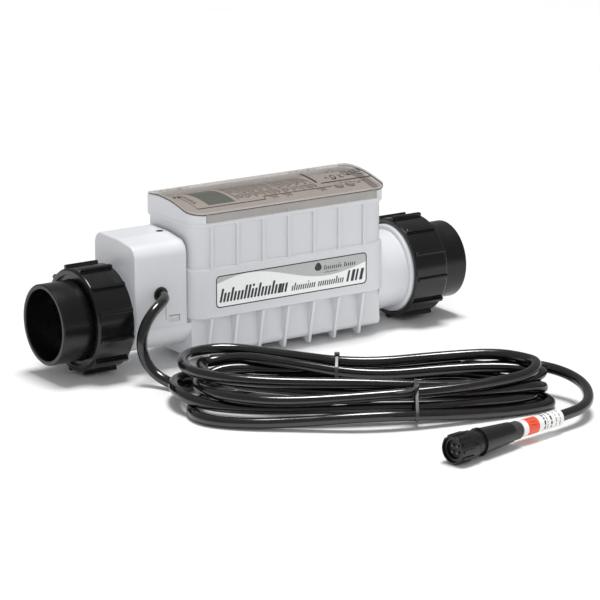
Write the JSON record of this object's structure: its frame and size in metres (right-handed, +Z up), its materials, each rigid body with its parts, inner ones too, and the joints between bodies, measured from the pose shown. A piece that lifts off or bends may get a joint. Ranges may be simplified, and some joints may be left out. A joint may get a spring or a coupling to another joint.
{
  "type": "salt chlorine generator",
  "caption": "In-line salt water chlorinator cell with union nuts at both ends, a hinged smoke lid over its control panel, a flow switch and a coiled cord with a round connector.",
  "frame": {"origin": "on the floor under the middle of the object, measured without its free cord", "axes": "+X along the water line towards the outlet, +Y to the hinge side of the lid (back), +Z up"},
  "size_m": [0.4124, 0.4368, 0.141],
  "materials": {
    "body_plastic": "satin, cool light grey",
    "inner_plastic": "matt moulded",
    "union": "semi-gloss black, moulded",
    "smoke": "clear, smoke tint",
    "label": "printed film",
    "deck": "satin",
    "board": "coated board",
    "lens": "clear",
    "button": "matt",
    "rubber": "matt",
    "cord": "glossy jacket",
    "black_plastic": "satin",
    "black_metal": "black oxide",
    "titanium": "grey, coated",
    "steel": "plain",
    "brass": "plain",
    "tag": "white film with a coloured band"
  },
  "bodies": {
    "housing": {"cell_body": "body_plastic", "electrode_plates": "titanium", "plate_comb_inlet": "inner_plastic", "plate_comb_outlet": "inner_plastic", "anode_bus_bar": "titanium", "cathode_bus_bar": "titanium", "terminal_studs": "titanium", "terminal_nuts": "steel", "water_sensor": "steel", "chamber_cover": "inner_plastic", "chamber_gasket": "rubber", "chamber_screws": "steel", "front_label": "label", "control_bezel": "body_plastic", "bezel_gasket": "rubber", "control_deck": "deck", "panel_overlay": "label", "deck_screws": "steel", "screw_washers": "steel", "control_board": "board", "board_components": "black_plastic", "board_screws": "steel", "button_switches": "black_plastic", "led_lenses": "lens", "lid_hinge_pins": "steel", "flow_switch_cover": "body_plastic", "flow_switch_body": "inner_plastic", "flow_switch_oring": "rubber", "reed_switch": "lens", "paddle_pin": "titanium", "cover_screw": "black_metal", "cable_grommet": "cord", "inlet_oring": "rubber", "outlet_oring": "rubber", "cord_lead": "cord", "cord_coil": "cord", "cord_tail": "cord", "cable_tie_back": "black_plastic", "cable_tie_front": "black_plastic", "cord_tag": "tag", "connector_shell": "black_plastic", "connector_collar": "black_plastic", "connector_insert": "black_plastic", "connector_pins": "brass"},
    "lid": {"lid": "smoke"},
    "inlet_tailpiece": {"inlet_tailpiece": "union"},
    "inlet_nut": {"inlet_nut": "union"},
    "outlet_tailpiece": {"outlet_tailpiece": "union"},
    "outlet_nut": {"outlet_nut": "union"},
    "less_button": {"less_button": "button"},
    "more_button": {"more_button": "button"},
    "flow_paddle": {"flow_paddle": "inner_plastic", "paddle_magnet": "steel"},
    "coupling_ring": {"coupling_ring": "black_plastic"}
  },
  "joints": [
    {"name": "lid_hinge", "type": "hinge", "parent": "housing", "child": "lid", "pos_m": [0.0146, 0.0433, 0.1322], "axis": [-1, 0, 0], "range_deg": [0, 105]},
    {"name": "inlet_nut_turn", "type": "hinge", "parent": "inlet_tailpiece", "child": "inlet_nut", "pos_m": [-0.1615, 0, 0.0467], "axis": [-1, 0, 0], "range_deg": [0, 1080]},
    {"name": "inlet_union_slide", "type": "slide", "parent": "housing", "child": "inlet_tailpiece", "axis": [-1, 0, 0], "range_m": [0, 0.018]},
    {"name": "outlet_nut_turn", "type": "hinge", "parent": "outlet_tailpiece", "child": "outlet_nut", "pos_m": [0.1615, 0, 0.0467], "axis": [1, 0, 0], "range_deg": [0, 1080]},
    {"name": "outlet_union_slide", "type": "slide", "parent": "housing", "child": "outlet_tailpiece", "axis": [1, 0, 0], "range_m": [0, 0.018]},
    {"name": "less_press", "type": "slide", "parent": "housing", "child": "less_button", "axis": [0, 0, -1], "range_m": [0, 0.001], "stiffness_N_per_m": 400, "springref_m": -0.0005},
    {"name": "more_press", "type": "slide", "parent": "housing", "child": "more_button", "axis": [0, 0, -1], "range_m": [0, 0.001], "stiffness_N_per_m": 400, "springref_m": -0.0005},
    {"name": "paddle_swing", "type": "hinge", "parent": "housing", "child": "flow_paddle", "pos_m": [-0.11, 0, 0.0667], "axis": [0, -1, 0], "range_deg": [0, 35], "stiffness_Nm_per_rad": 0.002, "springref_deg": -11.46},
    {"name": "coupling_turn", "type": "hinge", "parent": "housing", "child": "coupling_ring", "pos_m": [-0.074, -0.38, 0.0121], "axis": [0.9829, 0.184, 0], "range_deg": [0, 60]}
  ],
  "couplings": [
    {"joint": "inlet_union_slide", "follows": "inlet_nut_turn", "m_per_rad": 0.00095398},
    {"joint": "outlet_union_slide", "follows": "outlet_nut_turn", "m_per_rad": 0.00095398}
  ]
}
